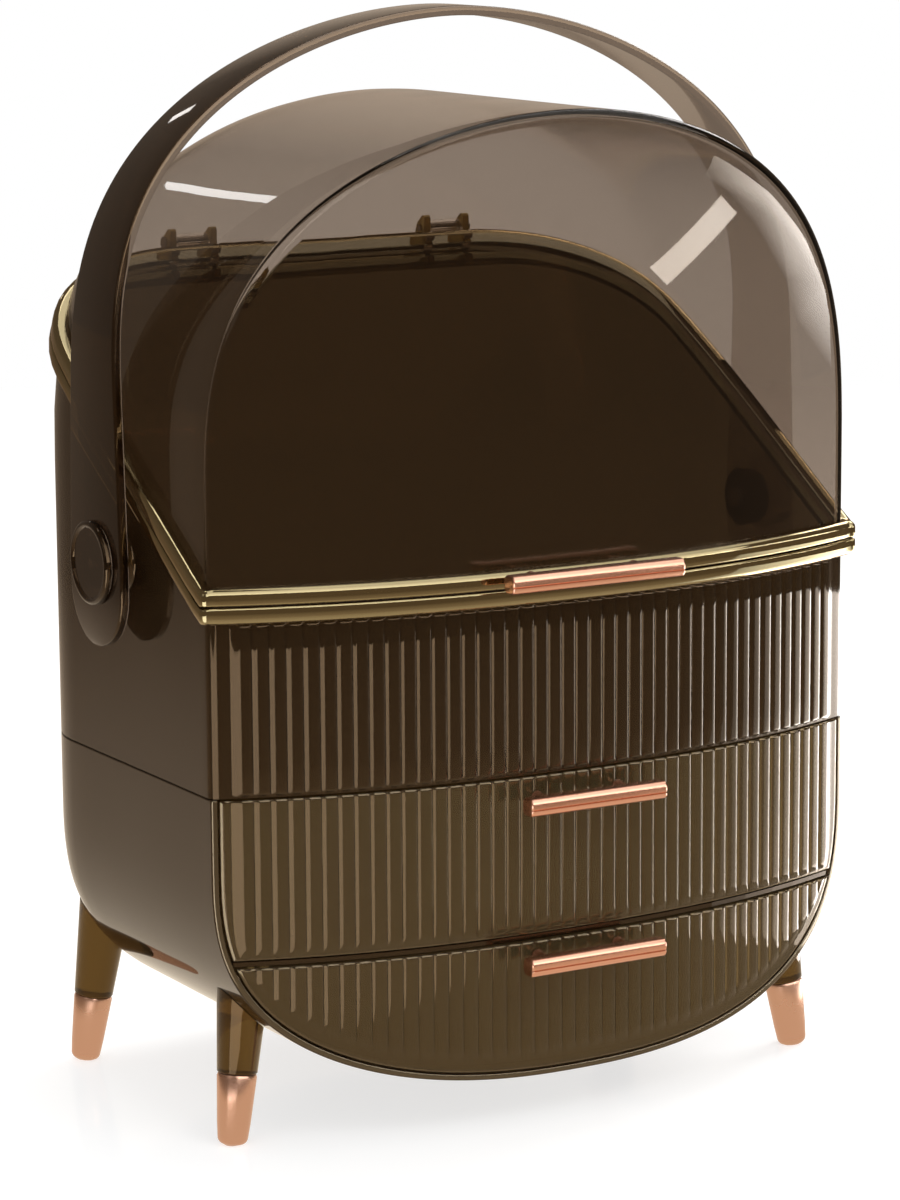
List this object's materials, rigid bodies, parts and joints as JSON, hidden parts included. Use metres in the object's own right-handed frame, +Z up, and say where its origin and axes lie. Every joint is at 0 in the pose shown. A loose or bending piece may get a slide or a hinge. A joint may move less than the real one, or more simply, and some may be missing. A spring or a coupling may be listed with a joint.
{
  "type": "makeup organizer",
  "caption": "Egg-shaped tinted plastic makeup organizer with a hinged dustproof lid, an open upper tray, fluted drawers, splayed legs and a carry handle.",
  "frame": {"origin": "on the floor under the middle of the object's whole width and depth", "axes": "+Z up, -Y towards the fluted front with the pulls, +X to the right seen from the front"},
  "size_m": [0.3308, 0.2388, 0.447],
  "materials": {
    "tinted_dome": "clear grey-brown tinted plastic, polished",
    "tinted_shell": "dark brown translucent plastic, polished",
    "tinted_drawer": "olive brown translucent plastic, polished",
    "rose_gold": "polished rose gold plating",
    "steel": "bright steel fasteners"
  },
  "bodies": {
    "root": {"lower_housing": "tinted_shell", "drawer_shelf": "tinted_shell", "upper_tray": "tinted_shell", "hinge_pin_left": "steel", "pivot_cap_left": "tinted_shell", "pivot_screw_left": "steel", "hinge_pin_right": "steel", "pivot_cap_right": "tinted_shell", "pivot_screw_right": "steel", "leg_front_left": "tinted_drawer", "leg_tip_front_left": "rose_gold", "leg_front_right": "tinted_drawer", "leg_tip_front_right": "rose_gold", "leg_rear_left": "tinted_drawer", "leg_tip_rear_left": "rose_gold", "leg_rear_right": "tinted_drawer", "leg_tip_rear_right": "rose_gold"},
    "lid": {"lid_shell": "tinted_dome", "lid_pull": "rose_gold", "lid_pull_screw_left": "steel", "lid_pull_screw_right": "steel"},
    "middle_drawer": {"middle_drawer_tray": "tinted_drawer", "middle_drawer_front": "tinted_drawer", "middle_drawer_pull": "rose_gold", "middle_drawer_screw_left": "steel", "middle_drawer_screw_right": "steel"},
    "bottom_drawer": {"bottom_drawer_tray": "tinted_drawer", "bottom_drawer_front": "tinted_drawer", "bottom_drawer_pull": "rose_gold", "bottom_drawer_screw_left": "steel", "bottom_drawer_screw_right": "steel"},
    "handle": {"carry_handle": "tinted_shell"}
  },
  "joints": [
    {"name": "lid_hinge", "type": "hinge", "parent": "root", "child": "lid", "pos_m": [0, 0.1129, 0.34403], "axis": [-1, 0, 0], "range_deg": [0, 80]},
    {"name": "middle_drawer_slide", "type": "slide", "parent": "root", "child": "middle_drawer", "axis": [0, -1, 0], "range_m": [0, 0.1]},
    {"name": "bottom_drawer_slide", "type": "slide", "parent": "root", "child": "bottom_drawer", "axis": [0, -1, 0], "range_m": [0, 0.1]},
    {"name": "handle_swing", "type": "hinge", "parent": "root", "child": "handle", "pos_m": [0, 0.0036, 0.23], "axis": [-1, 0, 0], "range_deg": [0, 120]}
  ],
  "couplings": [
    {"joint": "handle_swing", "follows": "lid_hinge", "ratio": 1.5}
  ]
}
